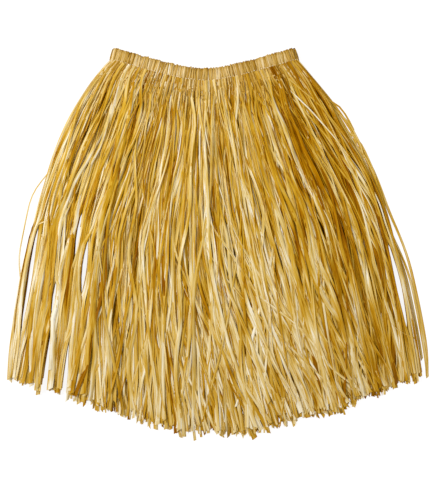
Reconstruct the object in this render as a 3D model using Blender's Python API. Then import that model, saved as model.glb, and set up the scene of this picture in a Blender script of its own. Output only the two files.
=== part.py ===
"""A grass skirt laid flat: a gathered waistband with a back and a front curtain of raffia.

Units are metres. +X runs across the skirt, +Y from the hem to the waist, and +Z up from the
surface that it lies on. The back curtain lies on that surface and the front one lies on it.
A share is a place across the skirt, from -1 at its left side to 1 at its right side.
A depth is a distance along the raffia, from the waistband's lower edge towards the hem.
"""

import math
from collections import namedtuple

import bmesh
import bpy
import numpy as np

# Waistband, laid flat and relaxed. Its ends rise, and its middle is a round dip.
WAIST_HALF_WIDTH = 0.151
BAND_HEIGHT = 0.022
BAND_SLOPE = 0.30
BAND_BEND = 0.041
FRONT_PLEATS = 60
BACK_PLEATS = 30
PLEAT_LOW = 0.0038
PLEAT_HIGH = 0.0052
RUFFLE = 0.0005
FOLD_WIDTH = 0.0045

# The back curtain is one layer whose upper face is a plane, thinner at the hem.
BACK_AT_WAIST = 0.0052
BACK_AT_HEM = 0.0038
HEM_BELOW_WAIST = 0.600

# Clearance between pieces: under the front layer, between locks, and along the band.
LAYER_GAP = 0.0004
LOCK_GAP = 0.0008
BAND_GAP = 0.0005

# How the raffia fans out on each side: degrees from straight down at the waistband and at
# the hem, and the depth over which the first angle fades into the second.
Spread = namedtuple("Spread", "at_band at_hem fade")
LEFT_SPREAD = Spread(at_band=50, at_hem=7, fade=0.140)
RIGHT_SPREAD = Spread(at_band=46, at_hem=3, fade=0.280)
FLOW_STEPS = 48

# Depths at which each lock of raffia has a section. The last section is its own length.
SECTION_DEPTHS = (0.0, 0.05, 0.10, 0.16, 0.23, 0.30, 0.37, 0.44, 0.51)

# One row for each lock of the front curtain, left to right: the share of its left side at
# the waistband and at the hem, its length, its height off the back curtain, and how far
# the ends of its raffia differ. The last row is the curtain's right side.
Lock = namedtuple("Lock", "band hem length height ragged")
FRONT_LOCKS = (
    Lock(-1.00, -1.00, 0.561, 0.0058, 0.012),
    Lock(-0.90, -0.91, 0.558, 0.0064, 0.009),
    Lock(-0.80, -0.81, 0.553, 0.0060, 0.011),
    Lock(-0.70, -0.70, 0.556, 0.0070, 0.010),
    Lock(-0.61, -0.58, 0.556, 0.0063, 0.013),
    Lock(-0.50, -0.49, 0.562, 0.0072, 0.009),
    Lock(-0.39, -0.41, 0.566, 0.0062, 0.012),
    Lock(-0.30, -0.31, 0.576, 0.0069, 0.010),
    Lock(-0.21, -0.19, 0.583, 0.0065, 0.012),
    Lock(-0.10, -0.11, 0.576, 0.0073, 0.009),
    Lock(0.00, 0.01, 0.586, 0.0064, 0.011),
    Lock(0.11, 0.10, 0.590, 0.0070, 0.012),
    Lock(0.20, 0.21, 0.584, 0.0062, 0.010),
    Lock(0.29, 0.31, 0.574, 0.0071, 0.012),
    Lock(0.41, 0.40, 0.576, 0.0064, 0.010),
    Lock(0.50, 0.50, 0.580, 0.0070, 0.012),
    Lock(0.59, 0.61, 0.574, 0.0062, 0.011),
    Lock(0.70, 0.69, 0.566, 0.0068, 0.013),
    Lock(0.79, 0.80, 0.571, 0.0064, 0.010),
    Lock(0.89, 0.90, 0.566, 0.0060, 0.012),
    Lock(1.00, 1.00, 0.0, 0.0, 0.0),
)

# The back curtain's locks are wider, and fill their layer, so their height is its own.
BACK_LOCKS = (
    Lock(-1.00, -1.00, 0.556, 0.0, 0.010),
    Lock(-0.90, -0.88, 0.552, 0.0, 0.012),
    Lock(-0.80, -0.81, 0.548, 0.0, 0.009),
    Lock(-0.70, -0.70, 0.550, 0.0, 0.011),
    Lock(-0.56, -0.55, 0.556, 0.0, 0.010),
    Lock(-0.42, -0.43, 0.566, 0.0, 0.012),
    Lock(-0.27, -0.26, 0.575, 0.0, 0.010),
    Lock(-0.12, -0.13, 0.577, 0.0, 0.012),
    Lock(0.03, 0.04, 0.580, 0.0, 0.010),
    Lock(0.18, 0.17, 0.574, 0.0, 0.011),
    Lock(0.33, 0.34, 0.570, 0.0, 0.010),
    Lock(0.48, 0.47, 0.572, 0.0, 0.012),
    Lock(0.64, 0.65, 0.564, 0.0, 0.010),
    Lock(0.82, 0.81, 0.562, 0.0, 0.012),
    Lock(1.00, 1.00, 0.0, 0.0, 0.0),
)

# Partings that stand open through both curtains: the hem share of the parting, the depths
# between which it opens and closes again, and its widest gap. A depth past the hem leaves
# the parting open there.
Slit = namedtuple("Slit", "share opens closes gap")
SLITS = (
    Slit(share=-0.81, opens=0.40, closes=0.70, gap=0.0100),
    Slit(share=-0.70, opens=0.25, closes=0.41, gap=0.0090),
    Slit(share=-0.70, opens=0.47, closes=0.65, gap=0.0080),
)

# Single strands that bow out past the sides of the skirt: the side, the depths where the
# strand leaves and rejoins the curtain, how far it bows out, and its width.
Stray = namedtuple("Stray", "name side leaves rejoins bow width")
STRAYS = (
    Stray("left", side=-1, leaves=0.17, rejoins=0.44, bow=0.018, width=0.0035),
    Stray("right_upper", side=1, leaves=0.06, rejoins=0.14, bow=0.006, width=0.0030),
    Stray("right_middle", side=1, leaves=0.15, rejoins=0.24, bow=0.005, width=0.0030),
    Stray("right_lower", side=1, leaves=0.31, rejoins=0.55, bow=0.012, width=0.0035),
)
STRAY_HEIGHT = 0.0025
STRAY_SECTIONS = 11

RAFFIA_COLOUR = (0.54, 0.34, 0.08, 1.0)
BAND_COLOUR = (0.53, 0.35, 0.11, 1.0)


def band_top(x):
    """Height of the waistband's upper edge above its lowest point."""
    return BAND_SLOPE * (math.hypot(x, BAND_BEND) - BAND_BEND)


def band_point(share, drop, out=0.0):
    """The point at this share of the band, this far below its upper edge, moved out along it."""
    x = share * WAIST_HALF_WIDTH
    slope = BAND_SLOPE * x / math.hypot(x, BAND_BEND)
    length = math.hypot(1.0, slope)
    along = (1.0 / length, slope / length)
    down = (slope / length, -1.0 / length)
    return (
        x + drop * down[0] + out * along[0],
        band_top(x) + drop * down[1] + out * along[1],
    )


def headings(share, depths):
    """Angles from straight down, in radians, of the strand at this share."""
    spread = LEFT_SPREAD if share < 0 else RIGHT_SPREAD
    fading = (spread.at_band - spread.at_hem) * np.exp(-depths / spread.fade)
    return share * np.radians(spread.at_hem + fading)


def flow(share, depth, aside=0.0):
    """Where the strand at this share is at this depth, moved aside square to its run."""
    steps = (np.arange(FLOW_STEPS) + 0.5) / FLOW_STEPS * depth
    angles = headings(share, steps)
    x, y = band_point(share, BAND_HEIGHT + BAND_GAP)
    x += np.sin(angles).mean() * depth
    y -= np.cos(angles).mean() * depth
    angle = float(headings(share, np.array([depth]))[0])
    return x + aside * math.cos(angle), y + aside * math.sin(angle)


def back_height(y):
    """Height of the plane on which the front layer lies."""
    fall = (BACK_AT_HEM - BACK_AT_WAIST) / HEM_BELOW_WAIST
    return BACK_AT_WAIST - fall * min(y, 0.0)


def front_floor(y):
    return back_height(y) + LAYER_GAP


def puff(depth, length):
    """How full a lock is: pressed down at the stitching, fullest below it, thin at the hem."""
    rise = min(1.0, 0.72 + depth / 0.18)
    return rise * (1.0 - 0.35 * depth / length)


def parting_gap(share, depth):
    """Width of the gap along the parting whose hem share is given."""
    gap = LOCK_GAP * (1.0 + depth)
    for slit in SLITS:
        if slit.share == share and slit.opens < depth < slit.closes:
            part = (depth - slit.opens) / (slit.closes - slit.opens)
            gap = max(gap, slit.gap * math.sin(math.pi * part))
    return gap


def new_material(name, colour, roughness):
    material = bpy.data.materials.new(name)
    material.use_nodes = True
    shader = material.node_tree.nodes["Principled BSDF"]
    shader.inputs["Base Color"].default_value = colour
    shader.inputs["Roughness"].default_value = roughness
    shader.inputs["Metallic"].default_value = 0.0
    return material


def slab(name, lower, upper, material):
    """One closed solid between two grids of points, each a list of equally long rows."""
    rows = len(lower)
    columns = len(lower[0])
    points = [point for grid in (lower, upper) for row in grid for point in row]
    above = rows * columns
    faces = []
    for row in range(rows - 1):
        for column in range(columns - 1):
            corner = row * columns + column
            quad = (corner, corner + 1, corner + columns + 1, corner + columns)
            faces.append(quad)
            faces.append([point + above for point in reversed(quad)])
    edge = [column for column in range(columns)]
    edge += [row * columns + columns - 1 for row in range(1, rows)]
    edge += [(rows - 1) * columns + column for column in range(columns - 2, -1, -1)]
    edge += [row * columns for row in range(rows - 2, 0, -1)]
    for start, end in zip(edge, edge[1:] + edge[:1]):
        faces.append((end, start, start + above, end + above))
    mesh = bpy.data.meshes.new(name)
    mesh.from_pydata(points, [], faces)
    shape = bmesh.new()
    shape.from_mesh(mesh)
    bmesh.ops.recalc_face_normals(shape, faces=shape.faces)
    shape.to_mesh(mesh)
    shape.free()
    mesh.materials.append(material)
    piece = bpy.data.objects.new(name, mesh)
    bpy.context.scene.collection.objects.link(piece)
    return piece


def band_strip(name, pleats, floor, heights, material):
    """A pleated strip of the waistband. floor and heights give its lower and upper faces."""
    lower = []
    upper = []
    reach = 1.0 - FOLD_WIDTH / WAIST_HALF_WIDTH
    for station in range(2 * pleats + 1):
        share = reach * (station / pleats - 1.0)
        ruffle = RUFFLE * (station % 2)
        edges = [band_point(share, drop) for drop in (ruffle, BAND_HEIGHT)]
        lower.append([(x, y, floor(y)) for x, y in edges])
        upper.append([(x, y, heights(y, station)) for x, y in edges])
    return slab(name, lower, upper, material)


def front_pleat_height(y, station):
    return front_floor(y) + (PLEAT_LOW if station % 2 else PLEAT_HIGH)


def band_fold(name, side, material):
    """The rounded fold that closes the waistband at one side, from the surface to the top."""
    across = (0.10, 0.70, 1.00)
    low = (0.0, 0.0, 0.30)
    high = (1.0, 0.93, 0.62)
    lower = []
    upper = []
    reach = 1.0 - FOLD_WIDTH / WAIST_HALF_WIDTH
    for drop in (0.0, BAND_HEIGHT):
        edge = [band_point(side * reach, drop, side * FOLD_WIDTH * part) for part in across]
        tops = [front_floor(y) + PLEAT_LOW for x, y in edge]
        lower.append([(x, y, top * part) for (x, y), top, part in zip(edge, tops, low)])
        upper.append([(x, y, top * part) for (x, y), top, part in zip(edge, tops, high)])
    return slab(name, lower, upper, material)


def lock_grid(left, right, columns):
    """Rows of (x, y, depth) for one lock, with ragged ends, between its two partings."""
    depths = SECTION_DEPTHS + (left.length,)
    grid = []
    for section, depth in enumerate(depths):
        row = []
        for column in range(columns):
            part = column / (columns - 1)
            if section == len(depths) - 1:
                depth = left.length - left.ragged * ((column * 2 + 1) % 5) / 4
            along = min(1.0, depth / left.length)
            sides = [lock.band + (lock.hem - lock.band) * along for lock in (left, right)]
            share = sides[0] + (sides[1] - sides[0]) * part
            aside = 0.0
            if column == 0:
                aside = parting_gap(left.hem, depth) / 2
            if column == columns - 1:
                aside = -parting_gap(right.hem, depth) / 2
            x, y = flow(share, depth, aside)
            row.append((x, y, depth))
        grid.append(row)
    return grid


def back_lock(name, left, right, material):
    """A lock of the back curtain: flat where it rests, with rounded sides."""
    fullness = (0.70, 1.0, 1.0, 0.70)
    grid = lock_grid(left, right, len(fullness))
    lower = [[(x, y, 0.0) for x, y, _ in row] for row in grid]
    upper = [
        [(x, y, back_height(y) * full) for (x, y, _), full in zip(row, fullness)]
        for row in grid
    ]
    return slab(name, lower, upper, material)


def front_lock(name, left, right, material):
    """A lock of the front curtain, with three ridges of raffia along it."""
    fullness = (0.55, 0.95, 0.62, 1.0, 0.66, 0.90, 0.50)
    grid = lock_grid(left, right, len(fullness))
    lower = [[(x, y, front_floor(y)) for x, y, _ in row] for row in grid]
    upper = [
        [
            (x, y, front_floor(y) + left.height * puff(depth, left.length) * full)
            for (x, y, depth), full in zip(row, fullness)
        ]
        for row in grid
    ]
    return slab(name, lower, upper, material)


def stray_strand(stray, material):
    """A single strand that leaves the curtain's side, bows out and rejoins it."""
    lower = []
    upper = []
    for section in range(STRAY_SECTIONS):
        part = section / (STRAY_SECTIONS - 1)
        depth = stray.leaves + (stray.rejoins - stray.leaves) * part
        inner = LOCK_GAP + stray.bow * math.sin(math.pi * part)
        edges = [
            flow(stray.side, depth, stray.side * out) for out in (inner, inner + stray.width)
        ]
        lower.append([(x, y, 0.0) for x, y in edges])
        upper.append([(x, y, STRAY_HEIGHT) for x, y in edges])
    return slab("stray_strand_" + stray.name, lower, upper, material)


def build_waistband(material):
    yield band_strip(
        "waistband_back",
        BACK_PLEATS,
        lambda y: 0.0,
        lambda y, station: back_height(y),
        material,
    )
    yield band_strip(
        "waistband_front",
        FRONT_PLEATS,
        front_floor,
        front_pleat_height,
        material,
    )
    yield band_fold("waistband_fold_left", -1, material)
    yield band_fold("waistband_fold_right", 1, material)


def build_curtains(material):
    for number, (left, right) in enumerate(zip(BACK_LOCKS, BACK_LOCKS[1:]), 1):
        yield back_lock(f"fringe_back_{number:02d}", left, right, material)
    for number, (left, right) in enumerate(zip(FRONT_LOCKS, FRONT_LOCKS[1:]), 1):
        yield front_lock(f"fringe_front_{number:02d}", left, right, material)
    for stray in STRAYS:
        yield stray_strand(stray, material)


def centre_on_origin(pieces):
    """Hang every piece on one empty, and move it so that the skirt's box is centred."""
    corners = np.array([tuple(v.co) for piece in pieces for v in piece.data.vertices])
    middle = (corners.min(axis=0) + corners.max(axis=0)) / 2
    skirt = bpy.data.objects.new("grass_skirt", None)
    bpy.context.scene.collection.objects.link(skirt)
    for piece in pieces:
        piece.parent = skirt
    skirt.location = (-middle[0], -middle[1], 0.0)


def build_skirt():
    for old in list(bpy.data.objects):
        bpy.data.objects.remove(old, do_unlink=True)
    raffia = new_material("raffia", RAFFIA_COLOUR, 0.55)
    gathered = new_material("raffia_gathered", BAND_COLOUR, 0.6)
    pieces = list(build_waistband(gathered)) + list(build_curtains(raffia))
    centre_on_origin(pieces)


build_skirt()
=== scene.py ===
"""The looks of a grass skirt laid flat: its raffia strands, gathered waistband and thread.

Units are metres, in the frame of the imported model. A share is a place across the skirt, from
-1 at its left side to 1 at its right side. A depth is a distance along the raffia from the
waistband. A drop is a distance down from the waistband's upper edge. A tone runs from 0, the
darkest raffia, to 1, the palest. Strands with higher keys are laid later.
"""

import math
from collections import namedtuple

import bpy
import numpy as np
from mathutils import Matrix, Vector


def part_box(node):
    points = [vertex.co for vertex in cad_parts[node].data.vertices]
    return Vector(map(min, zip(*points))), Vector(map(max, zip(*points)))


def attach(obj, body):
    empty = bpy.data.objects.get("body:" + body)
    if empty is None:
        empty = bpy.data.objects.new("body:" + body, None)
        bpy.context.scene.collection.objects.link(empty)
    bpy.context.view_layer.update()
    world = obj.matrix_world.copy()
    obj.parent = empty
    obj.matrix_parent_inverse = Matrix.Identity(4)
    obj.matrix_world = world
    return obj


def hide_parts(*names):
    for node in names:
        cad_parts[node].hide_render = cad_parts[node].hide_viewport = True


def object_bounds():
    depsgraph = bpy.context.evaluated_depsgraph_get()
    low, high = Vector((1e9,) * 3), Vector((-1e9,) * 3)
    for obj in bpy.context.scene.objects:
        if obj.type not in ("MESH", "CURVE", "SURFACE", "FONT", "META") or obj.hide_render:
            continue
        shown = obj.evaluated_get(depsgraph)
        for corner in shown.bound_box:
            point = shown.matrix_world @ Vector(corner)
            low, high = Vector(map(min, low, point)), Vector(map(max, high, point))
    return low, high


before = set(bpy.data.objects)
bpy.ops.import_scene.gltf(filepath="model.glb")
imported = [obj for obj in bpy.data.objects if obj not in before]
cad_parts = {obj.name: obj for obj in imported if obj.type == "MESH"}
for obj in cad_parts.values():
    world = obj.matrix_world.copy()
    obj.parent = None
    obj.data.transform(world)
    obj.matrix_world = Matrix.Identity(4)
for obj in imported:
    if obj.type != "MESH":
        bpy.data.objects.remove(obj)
cad_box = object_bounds()

# The waistband's line and the fan of the raffia, as the solids have them. Each side's spread
# is its outermost strand's angle from straight down, in degrees, at the band and far below it.
WAIST_HALF_WIDTH = 0.151
BAND_HEIGHT = 0.022
BAND_SLOPE = 0.30
BAND_BEND = 0.041
Spread = namedtuple("Spread", "at_band at_hem fade")
LEFT_SPREAD = Spread(at_band=50, at_hem=7, fade=0.140)
RIGHT_SPREAD = Spread(at_band=46, at_hem=3, fade=0.280)

# Where the curtains' ends lie, from the middle of the waistband's upper edge.
HEM_ACROSS = [-0.36, -0.32, -0.28, -0.24, -0.20, -0.12, -0.04, 0.02]
HEM_ACROSS += [0.06, 0.10, 0.14, 0.18, 0.22, 0.26, 0.30, 0.36]
HEM_BELOW = [0.506, 0.509, 0.517, 0.526, 0.542, 0.569, 0.593, 0.595]
HEM_BELOW += [0.599, 0.590, 0.577, 0.568, 0.559, 0.539, 0.524, 0.503]

# Partings open through both curtains: the depths between which they stand open, and how
# wide. The solids have only three, with widths of their own, near shares -0.70 and -0.81.
Slit = namedtuple("Slit", "share opens closes gap")
SLITS = (
    Slit(share=-0.735, opens=0.250, closes=0.345, gap=0.0080),
    Slit(share=-0.672, opens=0.290, closes=0.400, gap=0.0110),
    Slit(share=-0.820, opens=0.370, closes=0.445, gap=0.0075),
    Slit(share=-0.815, opens=0.435, closes=0.700, gap=0.0135),
    Slit(share=-0.710, opens=0.450, closes=0.640, gap=0.0110),
    Slit(share=-0.975, opens=0.290, closes=0.500, gap=0.0120),
    Slit(share=0.965, opens=0.330, closes=0.500, gap=0.0080),
)
# Around here strands drift less, so that the partings stay open.
PARTINGS_SHARE = -0.76
PARTINGS_REACH = 0.22

# A curtain: how many strands and stations, the mean width of a flat strand, how far up the
# ends lie, how high in the pile its last strands come, and the random seed.
Curtain = namedtuple("Curtain", "strands stations width hem_up highest seed")
BACK = Curtain(strands=350, stations=28, width=0.0062, hem_up=0.005, highest=0.5, seed=11)
FRONT = Curtain(strands=660, stations=40, width=0.0049, hem_up=0.0, highest=1.0, seed=23)

# Sheaves that lean across the front curtain: their shares at the band, halfway and at the
# hem, how many strands each has, and how far apart those lie.
Sheaf = namedtuple("Sheaf", "band middle hem strands apart")
SHEAVES = (
    Sheaf(band=0.00, middle=0.08, hem=0.34, strands=14, apart=0.10),
    Sheaf(band=0.14, middle=0.25, hem=0.48, strands=12, apart=0.12),
    Sheaf(band=0.34, middle=0.44, hem=0.66, strands=12, apart=0.12),
    Sheaf(band=-0.12, middle=-0.08, hem=0.18, strands=12, apart=0.14),
    Sheaf(band=-0.30, middle=-0.36, hem=-0.50, strands=8, apart=0.10),
    Sheaf(band=-0.34, middle=-0.30, hem=-0.10, strands=9, apart=0.12),
    Sheaf(band=0.56, middle=0.66, hem=0.82, strands=9, apart=0.10),
)

# Long strands that swing across the upper right side and then run down it: their share at
# the band, the share that they join, and the depth at which they do.
Crosser = namedtuple("Crosser", "band joins at")
CROSSERS = (
    Crosser(band=0.80, joins=0.995, at=0.21),
    Crosser(band=0.66, joins=0.98, at=0.26),
    Crosser(band=0.62, joins=0.96, at=0.28),
    Crosser(band=0.74, joins=0.97, at=0.19),
    Crosser(band=0.55, joins=0.92, at=0.31),
    Crosser(band=0.46, joins=0.84, at=0.33),
    Crosser(band=0.40, joins=0.74, at=0.35),
    Crosser(band=0.70, joins=0.94, at=0.30),
    Crosser(band=0.86, joins=0.99, at=0.16),
)

# How many more strands cross the upper right side at random places, lean either way, splay
# at the lower left, or lie askew on top as fine fibres.
MORE_CROSSERS = 16
WANDERERS = 70
SPLAYED = 40
FRAYED_FIBRES = 36

# Strands that leave a side of the curtain at one depth, bow out and rejoin it at another:
# how far each bows out, and how wide it is.
Stray = namedtuple("Stray", "place side leaves rejoins bow width")
STRAYS = (
    Stray("left", side=-1, leaves=0.20, rejoins=0.43, bow=0.016, width=0.0021),
    Stray("left", side=-1, leaves=0.29, rejoins=0.60, bow=0.004, width=0.0052),
    Stray("left", side=-1, leaves=0.33, rejoins=0.50, bow=0.001, width=0.0040),
    Stray("right_upper", side=1, leaves=0.08, rejoins=0.17, bow=0.004, width=0.0032),
    Stray("right_upper", side=1, leaves=0.10, rejoins=0.21, bow=0.002, width=0.0036),
    Stray("right_middle", side=1, leaves=0.14, rejoins=0.26, bow=0.004, width=0.0034),
    Stray("right_middle", side=1, leaves=0.16, rejoins=0.30, bow=0.001, width=0.0040),
    Stray("right_lower", side=1, leaves=0.27, rejoins=0.64, bow=0.013, width=0.0046),
    Stray("right_lower", side=1, leaves=0.31, rejoins=0.66, bow=0.009, width=0.0050),
    Stray("right_lower", side=1, leaves=0.34, rejoins=0.58, bow=0.003, width=0.0046),
)

# A strand's sideways wander in metres: each wave's shortest and longest length, and its size.
WANDER = ((0.34, 0.75, 0.0042), (0.14, 0.28, 0.0017), (0.05, 0.09, 0.0003))
# How strands draw together: how many clumps to a share, and how far each draws, in shares.
CLUMPS = ((4.5, 0.010), (12.0, 0.009), (27.0, 0.0055), (50.0, 0.0020))

# Slow waves of darker and paler raffia, partly random tone and partly painted shade in the
# valleys between clumps: how many to a share and to a metre, and their start.
TONE_AND_PAINTED_SHADE_WAVES = (
    (6.5, 1.1, 0.4),
    (10.5, -1.6, 2.1),
    (17.0, 2.3, 4.4),
    (24.0, -0.7, 1.3),
    (4.1, 3.1, 5.0),
    (7.9, -4.2, 0.9),
)

# Places where the waistband's gathers are darker, and how wide they are, as shares.
DARKER_GATHERS = ((-0.80, 0.04), (-0.14, 0.08), (0.49, 0.10), (0.97, 0.06))
# The pieces of the gathers: between which turns of the waist they lie, how many folds each
# has, its seed, and whether its folds run on below the band.
Gathering = namedtuple("Gathering", "side first last folds seed runs_on")
GATHERINGS = (
    Gathering("front", first=0.0, last=0.489, folds=230, seed=31, runs_on=True),
    Gathering("right", first=0.489, last=0.501, folds=4, seed=32, runs_on=False),
    Gathering("back", first=0.501, last=0.989, folds=160, seed=33, runs_on=False),
    Gathering("left", first=0.989, last=1.0, folds=4, seed=34, runs_on=False),
)
STITCHES = 70
STITCH_DROP = 0.0182
STITCH_WIDTH = 0.0014

# A leaf's section: how many points its faces have, how thick it is, and how much darker or
# paler it is from edge to edge, across its upper face and then back. The darker edges and the
# darker lower face are painted shade.
SECTION_POINTS = 4
LEAF_THICKNESS = 0.00025
PAINTED_SHADE_ACROSS_LEAF = np.array([-0.06, 0.03, 0.03, -0.06, -0.22, -0.16, -0.16, -0.22])

# Heights of the middles of the waistband's two strips, half a strip's thickness, how far the
# casing runs past the band's lower edge, and how far its inner face runs down.
FRONT_BAND_Z = 0.0094
BACK_BAND_Z = 0.0052
WALL = 0.0016
CASING_SPARE = 0.001
INNER_FACE = 0.010

# Where the rim, the frill above it and the sewn line lie on the casing's climb, and the reach
# of each.
RIM_CLIMB, RIM_REACH = 0.66, 0.10
FRILL_CLIMB, FRILL_REACH = 0.68, 0.3
SEWN_CLIMB, SEWN_REACH = 0.10, 0.06

# The step of the height map that strands are laid on, and the height that they stay under.
GRID_STEP = 0.0020
PILE_LIMIT = 0.020

# How far above the band's lower edge the strands start.
HELD_IN = 0.003

# The middle of the waistband's upper edge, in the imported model.
band_low, band_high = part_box("waistband_front")
ORIGIN = np.array([(band_low.x + band_high.x) / 2, band_low.y + BAND_HEIGHT])


# --- the lie of the raffia ---


def band_points(share, drop):
    """Points in the band's plane at these shares and drops, in the model's frame."""
    x = share * WAIST_HALF_WIDTH
    slope = BAND_SLOPE * x / np.hypot(x, BAND_BEND)
    length = np.hypot(1.0, slope)
    top = BAND_SLOPE * (np.hypot(x, BAND_BEND) - BAND_BEND)
    return np.stack([x + drop * slope / length, top - drop / length], -1) + ORIGIN


def headings(share, depth):
    """Angles from straight down of strands at these shares and depths, in radians."""
    left, right = (
        spread.at_hem + (spread.at_band - spread.at_hem) * np.exp(-depth / spread.fade)
        for spread in (LEFT_SPREAD, RIGHT_SPREAD)
    )
    return share * np.radians(np.where(share < 0, left, right))


FLOW_SHARES = np.linspace(-1.2, 1.2, 121)
FLOW_DEPTHS = np.linspace(0.0, 0.66, 133)
# The rows of the flow table for shares -1 and 1.
LEFT_ROW, RIGHT_ROW = 10, 110


def flow_table():
    """Positions of the strands' lines at every flow share and flow depth."""
    step = FLOW_DEPTHS[1]
    middle = FLOW_DEPTHS[:-1] + step / 2
    angles = headings(FLOW_SHARES[:, None], middle[None, :])
    start = band_points(FLOW_SHARES, BAND_HEIGHT - HELD_IN)
    runs = np.stack([np.sin(angles), -np.cos(angles)], -1) * step
    lines = np.cumsum(np.concatenate([np.zeros_like(runs[:, :1]), runs], 1), 1)
    return lines + start[:, None, :]


FLOW = flow_table()


def on_curtain(share, depth):
    """Points of the curtain at these shares and depths."""
    row = np.interp(share, FLOW_SHARES, np.arange(len(FLOW_SHARES)))
    column = np.interp(depth, FLOW_DEPTHS, np.arange(len(FLOW_DEPTHS)))
    i = np.minimum(row.astype(int), len(FLOW_SHARES) - 2)
    j = np.minimum(column.astype(int), len(FLOW_DEPTHS) - 2)
    a = (row - i)[..., None]
    b = (column - j)[..., None]
    near = FLOW[i, j] * (1 - b) + FLOW[i, j + 1] * b
    far = FLOW[i + 1, j] * (1 - b) + FLOW[i + 1, j + 1] * b
    return near * (1 - a) + far * a


def reach(depth):
    """How many metres one share spans at these depths."""
    return np.interp(depth, FLOW_DEPTHS, (FLOW[RIGHT_ROW, :, 0] - FLOW[LEFT_ROW, :, 0]) / 2)


def smooth(value):
    """Eases from 0 to 1 as the value goes from 0 to 1."""
    value = np.clip(value, 0.0, 1.0)
    return value * value * (3 - 2 * value)


def ramp(depth, start, length):
    """Rises from 0 in a straight line after its start, with a soft beginning."""
    part = (depth - start) / length
    return (part + np.hypot(part, 0.12)) / 2


def parted(share, depth, widths):
    """Shares pushed aside where the curtain stands open, each strand to its own side."""
    for slit in SLITS:
        part = np.clip((depth - slit.opens) / (slit.closes - slit.opens), 0, 1)
        inside = np.sin(math.pi * part)
        clear = slit.gap / 2 * inside + widths[:, None] * 0.42 * smooth(inside * 3)
        clear = clear / reach(depth)
        offset = share - slit.share
        mean = (offset * inside).sum(1) / (inside.sum(1) + 1e-9)
        side = np.where(mean < 0, -1.0, 1.0)[:, None]
        away = offset * side
        pushed = (away + clear + np.hypot(away - clear, 0.006 * inside)) / 2
        share = slit.share + side * np.where(inside > 0, pushed, away)
    return share


# --- strands ---

# The depths at which a strand's way is worked out, before it is cut to the hem.
PATH = np.linspace(0.0, 0.645, 130)[None, :]


def wander(rng, count):
    """Sideways wander of each strand, in metres: long leans, slow bends and small kinks."""
    total = np.zeros((count, PATH.size))
    for shortest, longest, size in WANDER:
        wave = rng.uniform(shortest, longest, count)[:, None]
        phase = rng.uniform(0, 2 * math.pi, count)[:, None]
        amount = (rng.gamma(2.2, 1 / 2.2, count) * size)[:, None]
        total += amount * (np.sin(2 * math.pi * PATH / wave + phase) - np.sin(phase))
    return total * smooth(PATH / 0.10)


def clumping(home, seed):
    """Shifts that draw neighbouring strands together into loose clumps, by their home share."""
    waves = np.random.default_rng(seed)
    moved = np.zeros((len(home), PATH.size))
    for count, size in CLUMPS:
        for _ in range(2):
            phase, drift = waves.uniform(0, 2 * math.pi), waves.uniform(-4, 4)
            moved += size * np.sin(2 * math.pi * count * home[:, None] + phase + drift * PATH)
    return moved * smooth(PATH / 0.15)


def noise_along(rng, count, steps, knots):
    """Smooth random values from -1 to 1 along each strand."""
    values = rng.uniform(-1, 1, (count, knots))
    at = np.linspace(0, knots - 1, steps)
    i = np.minimum(at.astype(int), knots - 2)
    f = smooth(at - i)
    return values[:, i] * (1 - f) + values[:, i + 1] * f


def kept_in(share, widths, rng):
    """Shares held inside the curtain's sides, a little unevenly."""
    limit = 0.970 - 0.010 * rng.gamma(1.5, 0.6, len(widths))[:, None]
    limit = limit - widths[:, None] * 0.3 / reach(PATH) + 0.034 * smooth((PATH - 0.08) / 0.2)
    over = np.abs(share) - limit
    inward = (over + np.hypot(over, 0.01)) / 2
    return share - np.sign(share) * inward


def hem_depth(rng, share, up):
    """How long each strand is: down to the hem, some cut shorter and a few left long."""
    points = on_curtain(share, np.broadcast_to(PATH, share.shape)) - ORIGIN
    count = len(share)
    draw = rng.uniform(0, 1, count)
    extra = rng.normal(0, 0.0058, count) - up
    extra -= np.where(draw < 0.07, rng.uniform(0.01, 0.05, count), 0)
    extra += np.where(draw > 0.975, rng.uniform(0.004, 0.009, count), 0)
    below = -points[..., 1] - np.interp(points[..., 0], HEM_ACROSS, HEM_BELOW) - extra[:, None]
    return np.array([np.interp(0.0, row, PATH[0]) for row in below])


def cut_to_hem(rng, share, curtain):
    """The strands' shares at their stations, spaced evenly to the hem, and their depths."""
    length = hem_depth(rng, share, curtain.hem_up)
    depth = length[:, None] * np.linspace(0, 1, curtain.stations)[None, :]
    return np.array([np.interp(d, PATH[0], row) for d, row in zip(depth, share)]), depth


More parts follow.
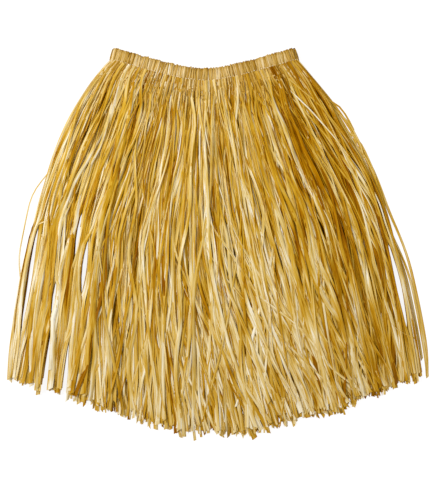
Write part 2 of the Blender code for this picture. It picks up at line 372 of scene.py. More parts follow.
def finish_set(rng, share, depth, widths, keys):
    """A set of strands: their shares and depths at their stations, and how each one looks.

    curl is a leaf's bend across, in radians, and it eases off from band to hem. Tones carry
    painted shade and light: leaves laid earlier, lower in the pile, are darker and the deepest
    are kept dark; the right side is darker as painted light falling off across the skirt, and
    the far left a little paler; slow waves add random tone and painted shade; leaves near the
    band are darker.
    """
    count, steps = share.shape
    curl_top = rng.uniform(2.4, 3.5, count)[:, None]
    curl_hem = rng.uniform(0.35, 1.7, count)[:, None]
    ease = smooth((depth - 0.06) / 0.5)
    curl = curl_top * (1 - ease) + curl_hem * ease
    curl = np.clip(curl + 0.5 * noise_along(rng, count, steps, 9), 0.25, 3.4)
    crease = np.stack([noise_along(rng, count, steps, 11) for _ in range(SECTION_POINTS)], -1)
    side = share.mean(1)
    # Painted shade and light: leaves laid earlier, lower in the pile, are darker, and the right
    # side is darker as painted light falling off across the skirt; the far left is a little paler.
    base_tone_and_painted_light = 0.52 + 0.26 * (keys - 0.6) - 0.24 * smooth((side - 0.3) / 0.5)
    base_tone_and_painted_light += 0.03 * smooth((-side - 0.5) / 0.3)
    # Slow waves of darker and paler raffia, partly random tone and partly painted shade in the
    # valleys between clumps, stronger lower down and on the right.
    tone_waves_and_painted_shade = np.zeros((count, steps))
    for across, down, start in TONE_AND_PAINTED_SHADE_WAVES:
        tone_waves_and_painted_shade += np.sin(2 * math.pi * (across * share + down * depth) + start)
    tone_waves_and_painted_shade *= 0.030 + (0.030 + 0.020 * smooth((share - 0.2) / 0.3)) * smooth(depth / 0.3)
    # Darker near the band.
    tone_waves_and_painted_shade -= 0.06 * (1 - smooth(depth / 0.25))
    unlike = 0.14 + 0.05 * smooth(depth / 0.25)
    # Painted shade: the earlier a leaf is laid, lower in the pile, the darker its palest tone.
    painted_shade_cap = 0.50 + 0.30 * smooth(keys / 0.75)[:, None]
    wider = 1 + 0.30 * smooth((-share - 0.40) / 0.20) * ease
    width = widths[:, None] * wider * (1 + 0.15 * noise_along(rng, count, steps, 6))
    roll = rng.normal(0, 0.2, count)[:, None] + 0.38 * noise_along(rng, count, steps, 10)
    hollow = rng.uniform(0, 1, count) < 0.28
    tone = rng.normal(0, 1, count)[:, None] * unlike + base_tone_and_painted_light[:, None] + tone_waves_and_painted_shade
    rng.uniform(0, 1, count)  # Not used: it keeps the draws that follow as they are.
    return {
        "depth": depth,
        "share": share,
        "width": width,
        "curl": curl,
        "crease": crease * (0.19 - 0.08 * ease)[..., None],
        "roll": roll,
        "hollow": hollow,
        "tone": np.clip(tone, 0, painted_shade_cap),
        "slant": rng.normal(0, 0.0018, count),
        "home": np.array([row[len(row) // 2] for row in share]),
        "key": keys,
    }


def strand_set(rng, shares, widths, keys, curtain, splay=0.0):
    """Strands that follow the given shares, loosened, parted, splayed and cut to the hem."""
    share = shares + wander(rng, len(widths)) / reach(PATH)
    share = share + clumping(shares[:, 0], curtain.seed + 60)
    share = np.clip(parted(kept_in(share, widths, rng), PATH, widths) + splay, -1.0, 1.0)
    return finish_set(rng, *cut_to_hem(rng, share, curtain), widths, keys)


def joined(sets):
    """One set of these sets' strands, in the order that they are laid in."""
    whole = {key: np.concatenate([s[key] for s in sets]) for key in sets[0]}
    return picked(whole, np.argsort(whole["key"], kind="stable"))


def picked(strands, chosen):
    """The set of the chosen strands."""
    return {key: value[chosen] for key, value in strands.items()}


def calm(share):
    """How freely strands here drift sideways: little beside the partings."""
    return 1.0 - 0.75 * smooth(1.0 - np.abs(share - PARTINGS_SHARE) / PARTINGS_REACH)


def curtain_strands(curtain, lean):
    """A curtain's main strands, side by side. Lean is how far their ends drift to the right."""
    rng = np.random.default_rng(curtain.seed)
    count = curtain.strands
    band = ((np.arange(count) + rng.uniform(0, 1, count)) / count * 2 - 1) * 0.985
    loose = calm(band)
    middle = band + rng.normal(0, 0.032, count) * loose
    hem = middle + rng.normal(0, 0.055, count) * loose
    lower = lean * rng.gamma(1.4, 0.125, count) * np.exp(-(((band - 0.10) / 0.45) ** 2))
    start = rng.uniform(0.20, 0.42, count)[:, None]
    shares = band[:, None] + (middle - band)[:, None] * smooth(PATH / 0.33)
    shares = shares + (hem - middle)[:, None] * ramp(PATH, 0.28, 0.30)
    shares = shares + lower[:, None] * ramp(PATH, start, 0.25)
    steeper = np.where(band < 0, 0.100, -0.080) * np.abs(band) * (1 - np.abs(band)) * 4
    shares = shares + steeper[:, None] * smooth(PATH / 0.08) * smooth((0.30 - PATH) / 0.20)
    widths = curtain.width * np.exp(np.clip(rng.normal(-0.04, 0.38, count), -0.9, 0.6))
    return strand_set(rng, shares, widths, rng.uniform(0, 1, count) * curtain.highest, curtain)


def sheaf_strands(rng):
    """The strands of the sheaves, each straight to halfway and from there to the hem."""
    rows = []
    for sheaf in SHEAVES:
        for _ in range(sheaf.strands):
            offset = rng.uniform(-0.5, 0.5) * sheaf.apart
            middle = sheaf.middle + offset * 0.8
            rows.append((sheaf.band + offset, middle, sheaf.hem + offset * 1.3))
    band, middle, hem = np.array(rows).T[:, :, None]
    count = len(rows)
    halfway = 0.29
    shares = band + (middle - band) * PATH / halfway
    turn = ramp(PATH, rng.uniform(0.26, 0.36, count)[:, None], halfway)
    shares = shares + (hem - 2 * middle + band) * turn
    widths = FRONT.width * np.exp(np.clip(rng.normal(0, 0.2, count), -0.5, 0.4))
    return strand_set(rng, shares, widths, rng.uniform(0.6, 1.0, count), FRONT)


def crossing_strands(rng):
    """The named crossing strands, more like them, and others that lean either way."""
    crossers = list(CROSSERS)
    for _ in range(MORE_CROSSERS):
        band = rng.uniform(0.25, 0.86)
        joins = min(band + rng.uniform(0.16, 0.36), rng.uniform(0.95, 0.99))
        crossers.append(Crosser(band, joins, rng.uniform(0.18, 0.42)))
    shares = []
    for crosser in crossers:
        part = np.clip(PATH[0] / crosser.at, 0, 1)
        shares.append(crosser.band + (crosser.joins - crosser.band) * (1.4 * part - 0.4 * part**2))
    band = rng.uniform(-0.95, 0.95, WANDERERS)
    lean = rng.normal(0.03, 0.17, WANDERERS) * calm(band)
    start = rng.uniform(0.02, 0.40, WANDERERS)[:, None]
    shares = np.concatenate([shares, band[:, None] + lean[:, None] * ramp(PATH, start, 0.33)])
    count = len(shares)
    widths = FRONT.width * rng.uniform(0.5, 1.0, count)
    return strand_set(rng, shares, widths, rng.uniform(0.75, 1.0, count), FRONT)


def splayed_strands(rng):
    """Strands between the partings and the middle whose lower ends splay across the others."""
    count = SPLAYED
    home = rng.uniform(-0.64, -0.05, count)
    start = rng.uniform(0.33, 0.50, count)[:, None]
    slope = rng.choice([-1, 1], count) * rng.uniform(0.08, 0.20, count) * calm(home)
    splay = slope[:, None] * (ramp(PATH, start, 0.25) - ramp(0.0, start, 0.25))
    widths = FRONT.width * rng.uniform(0.7, 1.35, count)
    shares = home[:, None] + 0 * PATH
    return strand_set(rng, shares, widths, rng.uniform(0.7, 1.0, count), FRONT, splay)


def stray_strands(rng, strays):
    """Strands at the curtain's sides that bow out of it for part of their length."""
    count = len(strays)
    widths = np.array([stray.width for stray in strays])
    side = np.array([stray.side for stray in strays])[:, None]
    share = side * (0.965 + 0.01 * rng.uniform(-1, 1, count)[:, None] + 0.03 * smooth(PATH / 0.3))
    share = share + wander(rng, count) * 0.25 / reach(PATH)
    for row, stray in enumerate(strays):
        part = np.clip((PATH[0] - stray.leaves) / (stray.rejoins - stray.leaves), 0, 1)
        edge = 1.004 + stray.bow / reach(PATH[0])
        bow = smooth(np.sin(math.pi * part) * 1.1)
        share[row] = share[row] * (1 - bow) + stray.side * edge * bow
    share, depth = cut_to_hem(rng, share, FRONT)
    strands = finish_set(rng, share, depth, widths, rng.uniform(0.5, 0.9, count))
    strands["curl"] = np.clip(strands["curl"], 0.3, 1.8)
    strands["roll"] = strands["roll"] * 0.3
    strands["tone"] = np.clip(strands["tone"], np.where(side < 0, 0.70, 0.54), 0.85)
    return strands


def frayed_fibres(rng):
    """Fine torn fibres that lie askew on the front curtain."""
    count = FRAYED_FIBRES
    along = np.linspace(-0.5, 0.5, FRONT.stations)[None, :]
    along = along * rng.uniform(0.03, 0.12, count)[:, None]
    angle = rng.choice([-1, 1], count) * rng.uniform(0.10, 0.45, count)
    bend = rng.normal(0, 3.0, count)[:, None]
    depth = rng.uniform(0.06, 0.52, count)[:, None] + along * np.cos(angle)[:, None]
    across = along * np.sin(angle)[:, None] + bend * along**2
    share = rng.uniform(-0.93, 0.93, count)[:, None] + across / reach(depth)
    widths = rng.uniform(0.0012, 0.0020, count)
    return finish_set(rng, share, depth, widths, 1 + rng.uniform(0, 1, count))


# --- laying the strands on each other ---


class Pile:
    """The height of what has been laid so far, over a grid of the surface."""

    def __init__(self):
        self.low = np.array([cad_box[0].x, cad_box[0].y]) - 0.04
        size = np.array([cad_box[1].x, cad_box[1].y]) + 0.04 - self.low
        self.height = np.zeros(np.ceil(size / GRID_STEP).astype(int))

    def cells(self, points):
        """The grid's cells that hold these points."""
        index = ((points - self.low) / GRID_STEP).astype(int)
        index = np.clip(index, 0, np.array(self.height.shape) - 1)
        return index[..., 0], index[..., 1]

    def lay(self, line, side, half, thick, finer=4):
        """Rests one strand on the pile, and returns the height of its underside."""
        steps = len(line)
        at = np.linspace(0, steps - 1, (steps - 1) * finer + 1)
        fine = np.stack([np.interp(at, np.arange(steps), line[:, k]) for k in (0, 1)], -1)
        across = np.stack([np.interp(at, np.arange(steps), side[:, k]) for k in (0, 1)], -1)
        wide = np.interp(at, np.arange(steps), half)[:, None]
        tracks = np.stack([fine + across * wide * part for part in (-0.8, -0.4, 0.0, 0.4, 0.8)])
        cells = self.cells(tracks)
        under = self.height[cells]
        rest = 0.5 * under.max(0) + 0.5 * under.mean(0)
        padded = np.pad(rest, finer, mode="edge")
        peaks = np.max([padded[k : k + len(rest)] for k in range(2 * finer + 1)], 0)
        knots = (0.5 * peaks + 0.5 * rest)[::finer]
        for _ in range(3):
            ends = np.pad(knots, 1, mode="edge")
            knots = 0.25 * ends[:-2] + 0.5 * ends[1:-1] + 0.25 * ends[2:]
        top = np.interp(at, np.arange(steps), knots + thick)
        self.height[cells] = np.maximum(under, top[None, :])
        return knots


def sides_of(lines):
    """Unit vectors in the plane, square to each line, and towards x where it runs down."""
    run = np.gradient(lines, axis=1)
    run /= np.linalg.norm(run, axis=-1, keepdims=True)
    return np.stack([-run[..., 1], run[..., 0]], -1)


def lay_strands(strands, pile, band_z):
    """Adds each strand's line, side and height to the set, laid in the set's order."""
    lines = on_curtain(strands["share"], strands["depth"])
    sides = sides_of(lines)
    curl, width = strands["curl"], strands["width"]
    half = width * np.sin(curl / 2) / curl
    sag = width / curl * (1 - np.cos(curl / 2))
    pressed = 0.50 + 0.50 * smooth(strands["depth"] / 0.28)
    thick = LEAF_THICKNESS + 0.50 * sag + 0.38 * half * np.abs(np.sin(strands["roll"]))
    z = np.zeros_like(curl)
    for i in range(len(lines)):
        z[i] = pile.lay(lines[i], sides[i], half[i], thick[i] * pressed[i])
    z = PILE_LIMIT * np.tanh(z / PILE_LIMIT)
    join = smooth(strands["depth"] / 0.035)
    start = band_z + np.linspace(-0.0012, 0.0012, len(lines))[:, None]
    strands["line"] = np.concatenate([lines, (start * (1 - join) + z * join)[..., None]], -1)
    strands["side"] = np.concatenate([sides, np.zeros_like(z)[..., None]], -1)
    return strands


# --- ribbons ---


def section(width, curl, roll, hollow, crease):
    """Across and up places of a curled, creased leaf's upper face, then of its lower face."""
    turn = np.linspace(-0.5, 0.5, SECTION_POINTS)
    angle = curl[..., None] * turn
    radius = (width / curl)[..., None]
    facing = np.where(hollow, -1.0, 1.0)[:, None, None]
    across = radius * np.sin(angle)
    up = radius * (np.cos(angle) - np.cos(curl[..., None] / 2)) * facing
    up = up + crease * width[..., None]
    out_across, out_up = np.sin(angle) * facing, np.cos(angle)
    lower_across = across - LEAF_THICKNESS * out_across
    lower_up = up - LEAF_THICKNESS * out_up
    across = np.concatenate([across, lower_across[..., ::-1]], -1)
    up = np.concatenate([up, lower_up[..., ::-1]], -1)
    c, s = np.cos(roll)[..., None], np.sin(roll)[..., None]
    across, up = across * c - up * s, across * s + up * c
    return across, up - up.min(-1, keepdims=True)


def ribbon_mesh(name, leaves, material):
    """One mesh of closed, thin leaves, each along its own line."""
    line, side, up, width = (leaves[key] for key in ("line", "side", "up", "width"))
    count, steps = width.shape
    around = 2 * SECTION_POINTS
    bends = (leaves[key] for key in ("curl", "roll", "hollow", "crease"))
    across, rise = section(width, *bends)
    run = np.gradient(line, axis=1)
    run /= np.linalg.norm(run, axis=-1, keepdims=True)
    points = line[:, :, None, :] + side[:, :, None, :] * across[..., None]
    points = points + up[:, :, None, :] * rise[..., None]
    ends = across[:, -1] / width[:, -1:] * 2 * leaves["slant"][:, None]
    points[:, -1] += run[:, -1, None, :] * ends[..., None]
    index = np.arange(count * steps * around).reshape(count, steps, around)
    following = np.roll(index, -1, axis=2)
    walls = np.stack([index[:, :-1], following[:, :-1], following[:, 1:], index[:, 1:]], -1)
    caps = [index[:, 0, ::-1], index[:, -1, :]]
    loops = np.concatenate([walls.reshape(-1)] + [cap.reshape(-1) for cap in caps])
    sizes = np.concatenate([np.full(walls.size // 4, 4), np.full(2 * count, around)])
    mesh = bpy.data.meshes.new(name)
    mesh.vertices.add(points.size // 3)
    mesh.vertices.foreach_set("co", points.astype(np.float32).reshape(-1))
    mesh.loops.add(len(loops))
    mesh.loops.foreach_set("vertex_index", loops.astype(np.int32))
    mesh.polygons.add(len(sizes))
    starts = np.concatenate([[0], np.cumsum(sizes)[:-1]])
    mesh.polygons.foreach_set("loop_start", starts.astype(np.int32))
    mesh.update(calc_edges=True)
    paint_leaves(mesh, leaves, walls.shape, around)
    mesh.shade_smooth()
    mesh.set_sharp_from_angle(angle=math.radians(72))
    mesh.materials.append(material)
    piece = bpy.data.objects.new(name, mesh)
    bpy.context.scene.collection.objects.link(piece)
    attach(piece, "root")
    return piece


def paint_leaves(mesh, leaves, corners, around):
    """Gives leaves their colour marks, a map along each leaf, and a map for baking.

    The marks' red is the tone, and their green is how far the colour is from golden to straw.
    """
    line = leaves["line"]
    count, steps = leaves["width"].shape
    colour = np.ones((count, steps, around, 4), np.float32)
    # Painted shade: each leaf's edges and its whole lower face are darkened.
    colour[..., 0] = leaves["tone"][:, :, None] + PAINTED_SHADE_ACROSS_LEAF
    colour[..., 1] = leaves["far"][:, :, None]
    layer = mesh.color_attributes.new("leaf", "FLOAT_COLOR", "POINT")
    layer.data.foreach_set("color", colour.reshape(-1))
    length = np.linalg.norm(np.diff(line, axis=1), axis=-1).cumsum(1)
    length = np.concatenate([np.zeros((count, 1)), length], 1)
    ring = np.arange(around + 1)
    corner_rows = np.stack([np.arange(steps - 1)] * 2 + [np.arange(1, steps)] * 2, -1)
    corner_columns = np.stack([ring[:-1], ring[1:], ring[1:], ring[:-1]], -1)
    rows = np.broadcast_to(corner_rows[None, :, None, :], corners)
    columns = np.broadcast_to(corner_columns[None, None], corners)
    strand = np.broadcast_to(np.arange(count)[:, None, None, None], corners)
    leaf = np.stack([columns / around + strand * 3.7, length[strand, rows] * 100], -1)
    bake = np.stack(
        [(strand + 0.04 + 0.92 * columns / around) / count, 0.01 + 0.97 * rows / (steps - 1)], -1
    )
    cap_ring = np.arange(around)
    cap_u = (np.arange(count)[:, None] + 0.1 + 0.8 * (cap_ring % (around // 2)) / around) / count
    for values, map_name in ((leaf, "Leaf"), (bake, "OFBake")):
        layer = mesh.uv_layers.new(name=map_name)
        caps = []
        for low in (0.0005, 0.9855):
            cap_v = low + 0.004 * (cap_ring >= around // 2) + 0.002 * (cap_ring % 2)
            caps.append(np.stack([cap_u, np.broadcast_to(cap_v, cap_u.shape)], -1).reshape(-1))
        flat = np.concatenate([values.reshape(-1)] + caps)
        layer.uv.foreach_set("vector", flat.astype(np.float32))


def strand_piece(name, strands, material):
    """The mesh of laid strands: straw at the band and the hem, and golden between them."""
    upright = np.zeros_like(strands["line"])
    upright[..., 2] = 1.0
    # Partly painted light: the golden colour between band and hem stands in for the warm light
    # bounced among the denser strands there, where the hem is straw.
    far = smooth((strands["depth"] - 0.20) / 0.4) + 0.8 * (1 - smooth(strands["depth"] / 0.06))
    return ribbon_mesh(name, {**strands, "up": upright, "far": far}, material)


# --- materials ---


def linked(tree, source, output, target, socket):
    """Links two nodes by the names of their sockets."""
    tree.links.new(source.outputs[output], target.inputs[socket])


def linear(red, green, blue):
    """A colour as light from its everyday 0 to 255 values."""
    values = []
    for value in (red, green, blue):
        value /= 255
        values.append(value / 12.92 if value <= 0.04045 else ((value + 0.055) / 1.055) ** 2.4)
    return (*values, 1.0)


def scaled_noise(tree, place, scale, detail, size):
    """Noise along the leaf's own map, as a value that goes up and down by the given size."""
    mapping = tree.nodes.new("ShaderNodeMapping")
    mapping.inputs["Scale"].default_value = (*scale, 1.0)
    linked(tree, place, "UV", mapping, "Vector")
    noise = tree.nodes.new("ShaderNodeTexNoise")
    noise.inputs["Scale"].default_value = 1.0
    noise.inputs["Detail"].default_value = detail
    linked(tree, mapping, "Vector", noise, "Vector")
    scaled = tree.nodes.new("ShaderNodeMapRange")
    scaled.clamp = False
    scaled.inputs["From Min"].default_value = 0.25
    scaled.inputs["From Max"].default_value = 0.75
    scaled.inputs["To Min"].default_value = -size
    scaled.inputs["To Max"].default_value = size
    linked(tree, noise, "Fac", scaled, "Value")
    return scaled


def add_up(tree, first, second):
    """The sum of two outputs."""
    total = tree.nodes.new("ShaderNodeMath")
    tree.links.new(first, total.inputs[0])
    tree.links.new(second, total.inputs[1])
    return total.outputs[0]


def colour_ramp(tree, tone, stops):
    """The colour that the stops give to a tone."""
    colours = tree.nodes.new("ShaderNodeValToRGB")
    elements = colours.color_ramp.elements
    while len(elements) < len(stops):
        elements.new(0.5)
    for element, (position, colour) in zip(elements, stops):
        element.position = position
        element.color = linear(*colour)
    tree.links.new(tone, colours.inputs["Fac"])
    return colours.outputs["Color"]


def mixed(tree, share, first, second):
    """A mix of two colours: the first where the share is 0, and the second where it is 1."""
    mix = tree.nodes.new("ShaderNodeMix")
    mix.data_type = "RGBA"
    tree.links.new(share, mix.inputs["Factor"])
    tree.links.new(first, mix.inputs["A"])
    tree.links.new(second, mix.inputs["B"])
    return mix.outputs["Result"]


# Raffia's colours from dark to pale tones, in everyday 0 to 255 values. In GOLDEN and STRAW the
# palest tones are partly the raffia's own cream and partly a painted highlight for its satin
# sheen.
GOLDEN = (
    (0.0, (134, 75, 0)),
    (0.28, (179, 122, 0)),
    (0.52, (208, 164, 42)),
    (0.78, (230, 205, 136)),
    (1.0, (247, 239, 218)),
)
STRAW = (
    (0.0, (142, 86, 0)),
    (0.28, (188, 137, 14)),
    (0.52, (210, 171, 74)),
    (0.78, (230, 207, 150)),
    (1.0, (246, 238, 217)),
)
GATHERED = (
    (0.0, (132, 88, 6)),
    (0.3, (182, 140, 52)),
    (0.55, (208, 173, 100)),
    (0.8, (230, 204, 152)),
    (1.0, (248, 236, 206)),
)


def raffia_material(name, near, far, roughness, specular, patchy):
    """Dry raffia: its tone differs from leaf to leaf and along each, with fine long fibres.

    A leaf's green mark blends the near colours into the far ones.
    """
    material = bpy.data.materials.new(name)
    material.use_nodes = True
    tree = material.node_tree
    shader = tree.nodes["Principled BSDF"]
    leaf = tree.nodes.new("ShaderNodeAttribute")
    leaf.attribute_name = "leaf"
    parts = tree.nodes.new("ShaderNodeSeparateColor")
    linked(tree, leaf, "Color", parts, "Color")
    place = tree.nodes.new("ShaderNodeUVMap")
    place.uv_map = "Leaf"
    fibre = scaled_noise(tree, place, (24.0, 0.35), 3.0, 0.20)
    patch = scaled_noise(tree, place, (4.5, 0.15), 2.0, patchy)
    tone = add_up(tree, parts.outputs["Red"], fibre.outputs["Result"])
    tone = add_up(tree, tone, patch.outputs["Result"])
    colour = mixed(
        tree, parts.outputs["Green"], colour_ramp(tree, tone, near), colour_ramp(tree, tone, far)
    )
    tree.links.new(colour, shader.inputs["Base Color"])
    shader.inputs["Roughness"].default_value = roughness
    shader.inputs["Specular IOR Level"].default_value = specular
    shader.inputs["Specular Tint"].default_value = linear(255, 205, 90)
    bump = tree.nodes.new("ShaderNodeBump")
    bump.inputs["Strength"].default_value = 0.3
    bump.inputs["Distance"].default_value = 0.0004
    linked(tree, fibre, "Result", bump, "Height")
    linked(tree, bump, "Normal", shader, "Normal")
    return material


# --- waistband ---


def loop_place(turn):
    """Place along the band, height, outward and onward directions at a turn round the waist.

    A turn of 0 to 1 runs along the front from left to right, round the right fold, back along
    the rear and round the left fold.
    """
    radius = (FRONT_BAND_Z - BACK_BAND_Z) / 2
    inset = 0.001
    straight = 2 * (WAIST_HALF_WIDTH - radius - WALL - inset)
    bend = math.pi * radius
    whole = 2 * (straight + bend)
    distance = (turn % 1.0) * whole
    middle = (FRONT_BAND_Z + BACK_BAND_Z) / 2
    if distance < straight:
        return distance - straight / 2, FRONT_BAND_Z, (0.0, 1.0), (1.0, 0.0)
    distance -= straight
    if distance < bend:
        angle = distance / radius
        out = (math.sin(angle), math.cos(angle))
        return straight / 2 + radius * out[0], middle + radius * out[1], out, (out[1], -out[0])
    distance -= bend
    if distance < straight:
        return straight / 2 - distance, BACK_BAND_Z, (0.0, -1.0), (-1.0, 0.0)
    angle = (distance - straight) / radius
    out = (-math.sin(angle), -math.cos(angle))
    return -straight / 2 + radius * out[0], middle + radius * out[1], out, (out[1], -out[0])


def casing_place(turn, climb, lift=0.0, raised=0.0):
    """Point, outward direction and onward direction on the casing.

    climb runs from 0 at the lower edge of its outer face, over the rim at its upper edge, to
    1 part of the way down its inner face. The point is moved outward by lift, and past the
    rim by raised.
    """
    along, z, out, onward = loop_place(turn)
    share = np.array(along / WAIST_HALF_WIDTH)
    base = band_points(share, np.array(0.0))
    down = (band_points(share, np.array(BAND_HEIGHT)) - base) / BAND_HEIGHT
    outward = np.array([-down[1] * out[0], down[0] * out[0], out[1]])
    forward = np.array([-down[1] * onward[0], down[0] * onward[0], onward[1]])
    downward = np.array([down[0], down[1], 0.0])
    straight = BAND_HEIGHT + CASING_SPARE - WALL
    rim = math.pi * WALL
    distance = climb * (straight + rim + INNER_FACE)
    if distance < straight:
        facing = outward
        drop = BAND_HEIGHT + CASING_SPARE - distance
        offset = outward * (WALL + 0.0005 * math.sin(math.pi * distance / straight))
    elif distance < straight + rim:
        angle = (distance - straight) / WALL
        facing = outward * math.cos(angle) - downward * math.sin(angle)
        drop = WALL - WALL * math.sin(angle)
        offset = outward * WALL * math.cos(angle)
    else:
        facing = -outward
        drop = WALL + distance - straight - rim
        offset = -outward * WALL
    drop -= raised * max(0.0, 1 - abs(climb - FRILL_CLIMB) / FRILL_REACH)
    point = np.array([base[0], base[1], z]) + downward * drop + offset + facing * lift
    return point, facing, forward


def casing_piece(material):
    """The gathered casing, all round the waist: its outer face, rim and inner face."""
    columns, rows, ripples = 720, 15, 151
    points = []
    for column in range(columns):
        turn = column / columns
        uneven = 0.4 * math.sin(2 * math.pi * 7 * turn)
        ripple = math.sin(2 * math.pi * (ripples * turn + uneven))
        for row in range(rows):
            points.append(casing_place(turn, row / (rows - 1), 0.00035 * ripple - 0.0003)[0])
    faces = []
    for column in range(columns):
        ahead = (column + 1) % columns
        for row in range(rows - 1):
            a, b = column * rows + row, ahead * rows + row
            faces.append((a, b, b + 1, a + 1))
    mesh = bpy.data.meshes.new("waistband_casing")
    mesh.from_pydata([tuple(point) for point in points], [], faces)
    mesh.shade_smooth()
    colour = np.ones((len(points), 4), np.float32)
    colour[:, 0] = 0.3
    colour[:, 1] = 0.0
    layer = mesh.color_attributes.new("leaf", "FLOAT_COLOR", "POINT")
    layer.data.foreach_set("color", colour.reshape(-1))
    for map_name, wide, tall in (("Leaf", 240.0, 5.0), ("OFBake", 0.98, 0.98)):
        layer = mesh.uv_layers.new(name=map_name)
        corners = []
        for column in range(columns):
            for row in range(rows - 1):
                for c, r in ((0, 0), (1, 0), (1, 1), (0, 1)):
                    along = 0.01 + wide * (column + c) / columns
                    corners += (along, 0.01 + tall * (row + r) / (rows - 1))
        layer.uv.foreach_set("vector", np.array(corners, np.float32))
    mesh.materials.append(material)
    piece = bpy.data.objects.new("waistband_casing", mesh)
    bpy.context.scene.collection.objects.link(piece)
    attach(piece, "root")
    return piece


def gathers(gathering, pile, material):
    """Folds of raffia gathered side by side over the casing.

    If the gathering runs on, each fold's line has more stations below the band, where it comes
    down to the pile and goes in among the strands there.
    """
    rng = np.random.default_rng(gathering.seed)
    count = gathering.folds
    over, below = 15, 13 if gathering.runs_on else 1
    steps = over + below - 1
    places = np.arange(count) + 0.5 + rng.uniform(-0.38, 0.38, count)
    turns = gathering.first + (gathering.last - gathering.first) * places / count
    shift = 0.0012 * noise_along(rng, count, steps, 5)
    lean = rng.normal(0, 0.0010, count)
    lift = rng.uniform(-0.0005, 0.0004, count)
    raised = rng.uniform(-0.0008, 0.0014, count)
    tails = rng.gamma(3.0, 0.010, count) + 0.006
    line, side, up = (np.zeros((count, steps, 3)) for _ in range(3))
    shares = np.zeros(count)
    for i in range(count):
        for k in range(over):
            climb = 1 - k / (over - 1)
            point, facing, forward = casing_place(turns[i], climb, lift[i], raised[i])
            line[i, k] = point + forward * (shift[i, k] + lean[i] * (0.4 - climb))
            side[i, k] = forward
            up[i, k] = facing
        shares[i] = loop_place(turns[i])[0] / WAIST_HALF_WIDTH
    if gathering.runs_on:
        on = np.linspace(0, 1, below)[None, :]
        depth = 0.004 + tails[:, None] * on
        spread = np.clip(shares * 0.98, -0.965, 0.965)[:, None] + 0 * depth
        path = on_curtain(spread, depth)
        path = path - path[:, :1] + line[:, over - 1 : over, :2]
        top = pile.height[pile.cells(path)]
        settle = smooth(depth / 0.030)
        z = line[:, over - 1 : over, 2] * (1 - settle) + (top + 0.0002) * settle - 0.0022 * on**3
        z = np.maximum(z, 0.0006)
        line[:, over - 1 :, :2] = path
        line[:, over - 1 :, 2] = z
        side[:, over - 1 :, :2] = sides_of(path)
        up[:, over - 1 :, 2] = 1.0
    climb = np.concatenate([np.linspace(1, 0, over), np.linspace(0, -1, below)[1:]])[None, :]
    width = rng.uniform(0.0024, 0.0044, count)[:, None] * (1 - 0.75 * np.clip(-climb, 0, 1) ** 2)
    darker = sum(np.exp(-(((shares - place) / wide) ** 2)) for place, wide in DARKER_GATHERS)
    rim = np.exp(-(((climb - RIM_CLIMB) / RIM_REACH) ** 2))
    tone = rng.normal(0.56, 0.15, count)[:, None] - 0.25 * darker[:, None] - 0.24 * rim
    curl = 2.5 + 0.6 * noise_along(rng, count, steps, 5)
    crease = np.stack([noise_along(rng, count, steps, 5) for _ in range(SECTION_POINTS)], -1)
    sewn = np.exp(-(((climb - SEWN_CLIMB) / SEWN_REACH) ** 2))
    leaves = {
        "line": line,
        "side": side,
        "up": up,
        "width": width * (1.0 - 0.25 * sewn),
        "curl": np.clip(curl, 1.2, 3.2),
        "crease": 0.12 * crease,
        "roll": rng.normal(0, 0.25, count)[:, None] + 0.25 * noise_along(rng, count, steps, 4),
        "hollow": rng.uniform(0, 1, count) < 0.12,
        "slant": np.zeros(count),
        "tone": np.clip(tone, 0, 1),
        "far": np.clip(-climb, 0, 1) + 0 * width,
    }
    piece = ribbon_mesh("waistband_gathers_" + gathering.side, leaves, material)
    return piece


def stitch_row(material):
    """The line of stitches that holds the gathers, near the band's lower edge."""
    rng = np.random.default_rng(41)
    count, steps = STITCHES, 7
    centres = np.linspace(-0.965, 0.965, count) + rng.normal(0, 0.003, count)
    along = np.linspace(-0.5, 0.5, steps)[None, :]
    share = centres[:, None] + along * rng.uniform(0.013, 0.020, count)[:, None]
    drop = STITCH_DROP + rng.normal(0, 0.0003, count)[:, None] + 0.0004 * along
    path = band_points(share, drop)
    z = FRONT_BAND_Z + WALL + 0.0014 - 0.0016 * (2 * along) ** 2 + 0 * share
    line = np.concatenate([path, z[..., None]], -1)
    upright = np.zeros_like(line)
    upright[..., 2] = 1.0
    even = np.ones((count, steps))
    leaves = {
        "line": line,
        "side": np.concatenate([sides_of(path), np.zeros_like(z)[..., None]], -1),
        "up": upright,
        "width": STITCH_WIDTH * even,
        "curl": 2.6 * even,
        "crease": np.zeros((count, steps, SECTION_POINTS)),
        "roll": 0 * even,
        "hollow": np.zeros(count, bool),
        "slant": np.zeros(count),
        "tone": 1.0 * even,
        "far": 0 * even,
    }
    piece = ribbon_mesh("waistband_stitches", leaves, material)


def build_waistband(pile):
    """The casing, its gathers and its stitches."""
    band = raffia_material("raffia_band", GATHERED, GOLDEN, 0.52, 0.35, 0.18)
    casing = casing_piece(band)
    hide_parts(*nodes_named("waistband"))
    pieces = [gathers(gathering, pile, band) for gathering in GATHERINGS]
    stitch_row(band)


# --- studio ---


def pale_floor():
    """A plain pale floor that glows a little, so that it stays white round the skirt."""
    mesh = bpy.data.meshes.new("floor")
    size = 60.0
    corners = [(-size, -size, 0), (size, -size, 0), (size, size, 0), (-size, size, 0)]
    mesh.from_pydata(corners, [], [(0, 1, 2, 3)])
    floor = bpy.data.objects.new("floor", mesh)
    bpy.context.scene.collection.objects.link(floor)
    material = bpy.data.materials.new("floor")
    material.use_nodes = True
    shader = material.node_tree.nodes["Principled BSDF"]
    shader.inputs["Base Color"].default_value = (0.2, 0.2, 0.2, 1)
    shader.inputs["Roughness"].default_value = 0.9
    shader.inputs["Emission Color"].default_value = (1, 1, 1, 1)
    shader.inputs["Emission Strength"].default_value = 0.88
    mesh.materials.append(material)


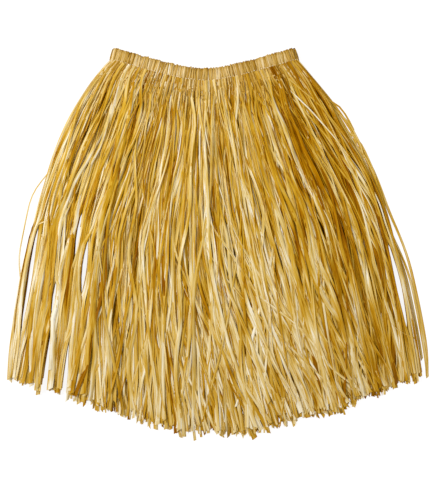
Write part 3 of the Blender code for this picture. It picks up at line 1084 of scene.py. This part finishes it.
def soft_light(name, place, size, power):
    """A square soft light at this place, turned to the middle of the floor."""
    light = bpy.data.lights.new(name, "AREA")
    light.shape = "SQUARE"
    light.size = size
    light.energy = power
    lamp = bpy.data.objects.new(name, light)
    lamp.location = place
    lamp.rotation_euler = (-lamp.location).to_track_quat("-Z", "Y").to_euler()
    bpy.context.scene.collection.objects.link(lamp)


def studio():
    """Soft light, and a camera straight above that shows view_height of the floor."""
    scene = bpy.context.scene
    world = bpy.data.worlds.new("studio")
    world.use_nodes = True
    background = world.node_tree.nodes["Background"]
    background.inputs["Color"].default_value = (1, 1, 1, 1)
    background.inputs["Strength"].default_value = 0.42
    scene.world = world
    scene.view_settings.view_transform = "Standard"
    soft_light("key", (-1.3, 0.6, 1.6), 0.65, 31)
    soft_light("fill", (1.3, 0.3, 1.8), 0.9, 8)
    camera = bpy.data.cameras.new("camera")
    camera.lens = 85
    camera.clip_end = 200
    eye = bpy.data.objects.new("camera", camera)
    view_height = 0.795
    eye.location = (0.0056, 0.0059, view_height * camera.lens / camera.sensor_width)
    scene.collection.objects.link(eye)
    scene.camera = eye


# --- building ---


def nodes_named(start):
    """The solids whose names start like this, in order."""
    return sorted(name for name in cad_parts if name.startswith(start))


def build_curtain(strands, names, material):
    """A curtain's pieces, one for each of its solids."""
    starts = np.linspace(-1, 1, len(names) + 1)[:-1]
    home = np.clip(np.searchsorted(starts, strands["home"]) - 1, 0, len(names) - 1)
    made = []
    for number, name in enumerate(names):
        mine = picked(strands, home == number)
        piece = strand_piece(name.replace("fringe", "raffia"), mine, material)
        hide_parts(name)
        made.append(piece)
    return made


def build_strays(rng, pile, material):
    """The stray strands, each piece with the side it is on."""
    made = []
    for name in nodes_named("stray_strand"):
        strays = [stray for stray in STRAYS if name.endswith(stray.place)]
        strands = lay_strands(stray_strands(rng, strays), pile, FRONT_BAND_Z)
        piece = strand_piece(name.replace("stray_strand", "raffia_stray"), strands, material)
        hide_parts(name)
        made.append((strays[0].side, piece))
    return made


def build():
    """Lays the back curtain, the strays and the front curtain, then makes the waistband."""
    fringe = raffia_material("raffia", GOLDEN, STRAW, 0.42, 0.24, 0.28)
    pile = Pile()
    rng = np.random.default_rng(FRONT.seed + 7)
    back = joined([curtain_strands(BACK, 0.3)])
    lay_strands(back, pile, BACK_BAND_Z)
    splayed = splayed_strands(np.random.default_rng(FRONT.seed + 8))
    leaning = [sheaf_strands(rng), crossing_strands(rng), frayed_fibres(rng)]
    front = joined([curtain_strands(FRONT, 1.0), *leaning, splayed])
    strays = build_strays(rng, pile, fringe)
    lay_strands(front, pile, FRONT_BAND_Z)
    backs = build_curtain(back, nodes_named("fringe_back"), fringe)
    build_curtain(front, nodes_named("fringe_front"), fringe)
    build_waistband(pile)


build()
pale_floor()
studio()
